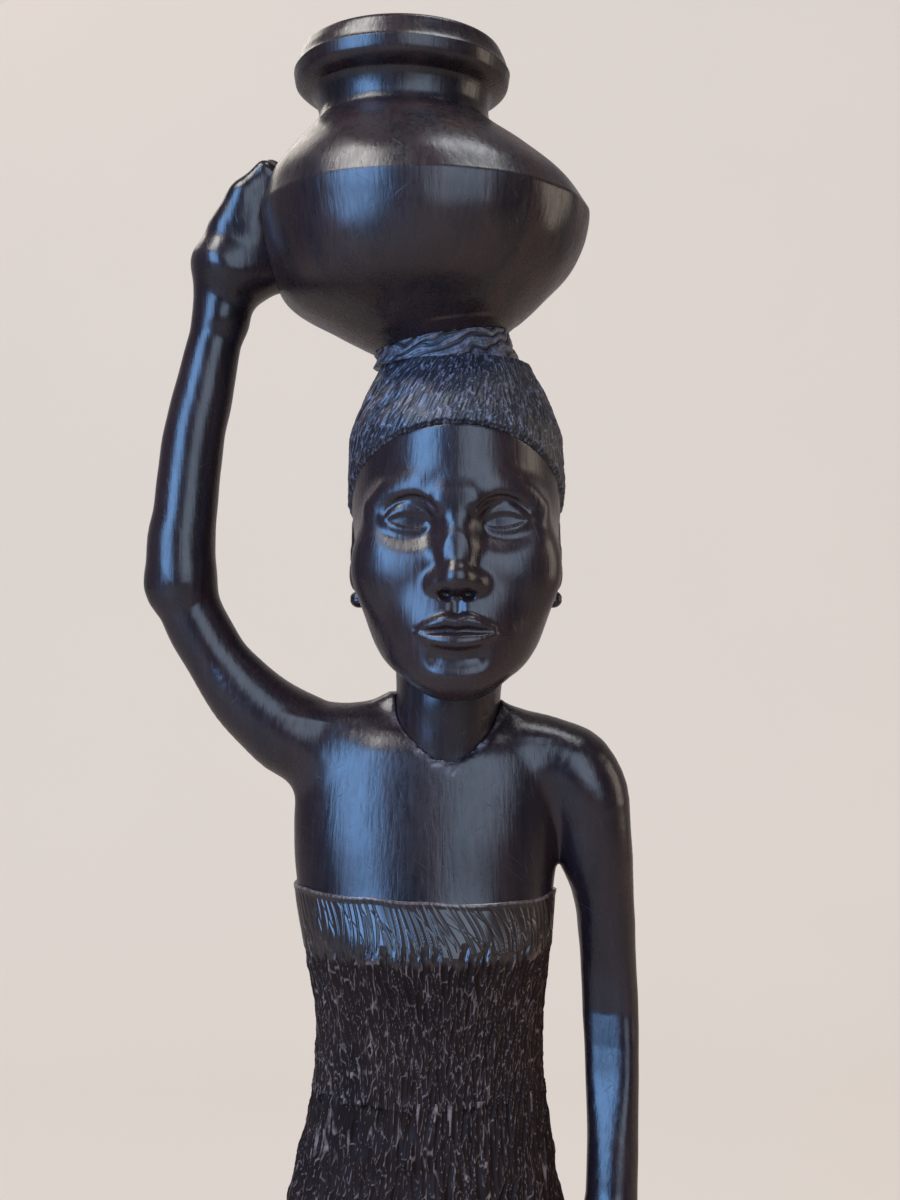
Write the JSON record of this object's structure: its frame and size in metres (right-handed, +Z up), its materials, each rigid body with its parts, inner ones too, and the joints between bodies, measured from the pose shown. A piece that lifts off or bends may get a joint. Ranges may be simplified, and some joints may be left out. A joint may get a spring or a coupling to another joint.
{
  "type": "carved standing figure",
  "caption": "Dark hardwood carving of a standing woman in a long stroke-cut wrap, one hand raised to the round pot on her head.",
  "frame": {"origin": "centre of the plinth's underside", "axes": "+Z up along the figure, +X towards its left (the hanging arm), -Y the way that it looks"},
  "size_m": [0.098, 0.086, 0.4015],
  "materials": {
    "polished_wood": "satin wax polish, near black with a warm brown cast and fine grain along the height",
    "polished_pot": "satin wax polish with fine scratches, browner towards the foot",
    "stroke_cut_bodice": "duller, covered with narrow curved gouge strokes",
    "stroke_cut_skirt": "dull, covered with longer and deeper gouge strokes",
    "incised_hair": "matt, covered with fine incised strokes"
  },
  "bodies": {
    "root": {"plinth": "polished_wood", "right_foot": "polished_wood", "left_foot": "polished_wood", "skirt": "stroke_cut_skirt", "bodice": "stroke_cut_bodice", "shoulders": "polished_wood", "neck": "polished_wood", "head": "polished_wood", "hair": "incised_hair", "right_ear": "polished_wood", "left_ear": "polished_wood", "right_earring": "polished_wood", "left_earring": "polished_wood", "carrying_ring": "incised_hair", "pot": "polished_pot", "raised_arm": "polished_wood", "raised_hand": "polished_wood", "hanging_arm": "polished_wood", "hanging_hand": "polished_wood"}
  },
  "joints": []
}
